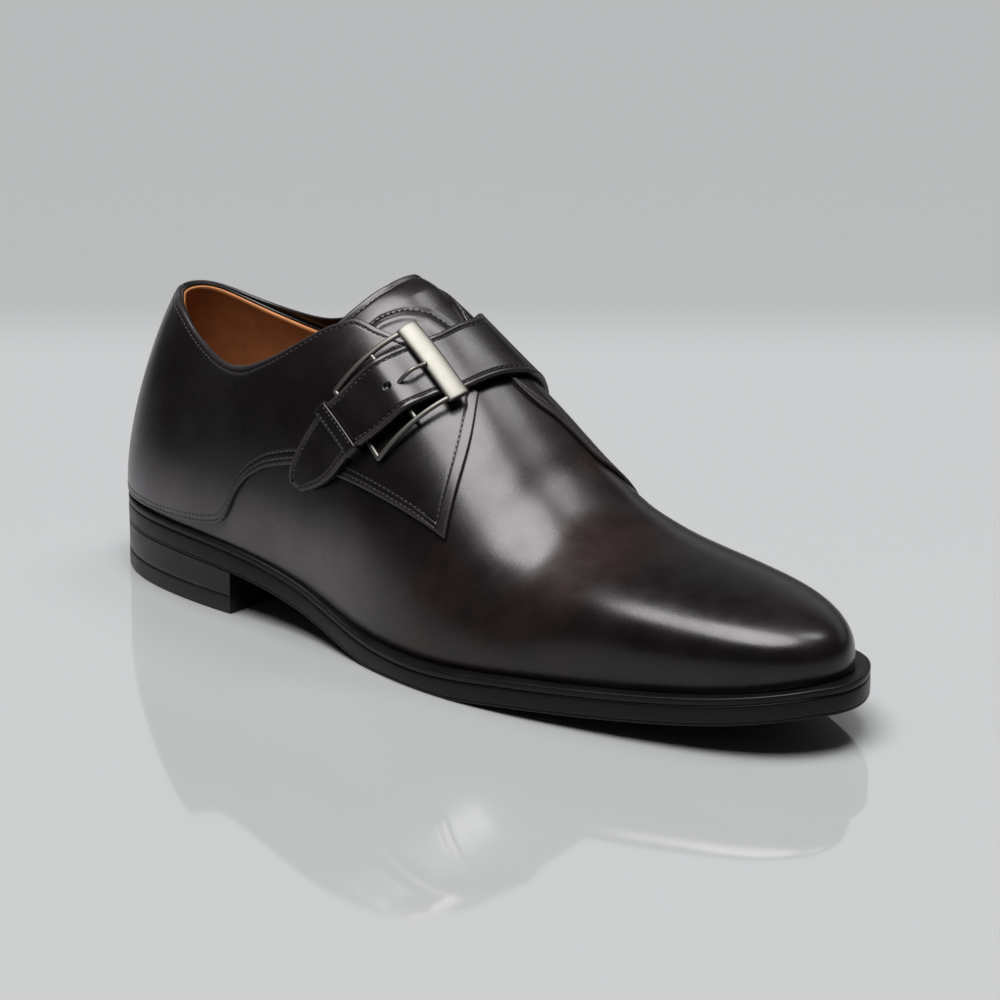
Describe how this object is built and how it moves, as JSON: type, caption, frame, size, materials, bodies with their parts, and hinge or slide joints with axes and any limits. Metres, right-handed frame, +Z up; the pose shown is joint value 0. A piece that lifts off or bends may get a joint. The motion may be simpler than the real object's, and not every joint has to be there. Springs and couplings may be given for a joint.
{
  "type": "monk strap shoe",
  "caption": "Right foot leather dress shoe with a strap over the instep fastened by a metal frame buckle, leather sole and low stacked heel.",
  "frame": {"origin": "middle of the footprint, on the floor", "axes": "+X from heel to toe, +Y to the inner (medial) side of the foot, +Z up"},
  "size_m": [0.304, 0.0964, 0.1126],
  "materials": {
    "burnished_leather": "burnished polish, near-black brown",
    "strap_leather": "burnished polish, stitched edges",
    "sole_leather": "dyed and waxed edge",
    "heel_rubber": "matte",
    "lining_leather": "unfinished tan calf",
    "buckle_metal": "satin nickel"
  },
  "bodies": {
    "root": {"outsole": "sole_leather", "welt": "sole_leather", "heel_stack": "sole_leather", "heel_top_piece": "heel_rubber", "insole": "lining_leather", "upper": "burnished_leather", "tongue": "burnished_leather", "quarter_lateral": "burnished_leather", "quarter_medial": "burnished_leather", "strap": "strap_leather", "buckle_frame": "buckle_metal", "buckle_prong": "buckle_metal", "keeper": "strap_leather"}
  },
  "joints": []
}
